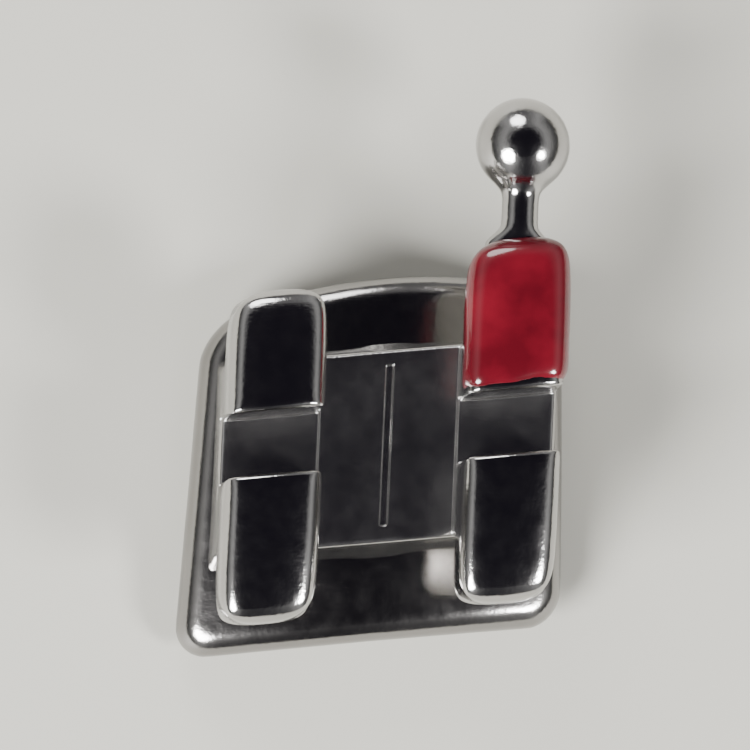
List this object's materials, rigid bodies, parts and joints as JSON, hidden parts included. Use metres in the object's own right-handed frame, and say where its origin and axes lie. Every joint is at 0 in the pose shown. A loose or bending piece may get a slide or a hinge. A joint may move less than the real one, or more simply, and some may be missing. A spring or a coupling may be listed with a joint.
{
  "type": "orthodontic bracket",
  "caption": "Metal orthodontic bracket for a canine tooth, with tie wings, an archwire slot, a ball hook and a curved mesh pad for bonding.",
  "frame": {"origin": "under the centre of the archwire slot, in the plane that the pad's lowest corners touch when the bracket lies on its pad", "axes": "+X along the archwire slot and away from the dental midline, +Y across the slot towards the gum, which is the hook's side, +Z out of the tooth, along the slot's depth"},
  "size_m": [0.0039, 0.0047, 0.0021],
  "materials": {
    "body_steel": "polished",
    "pad_steel": "polished, with a rounded rim",
    "mesh_steel": "drawn wire, brazed",
    "red_enamel": "glossy enamel"
  },
  "bodies": {
    "root": {"bracket_body": "body_steel", "base_pad": "pad_steel", "mesh_warp_wires": "mesh_steel", "mesh_weft_wires": "mesh_steel", "id_dot": "red_enamel"}
  },
  "joints": []
}
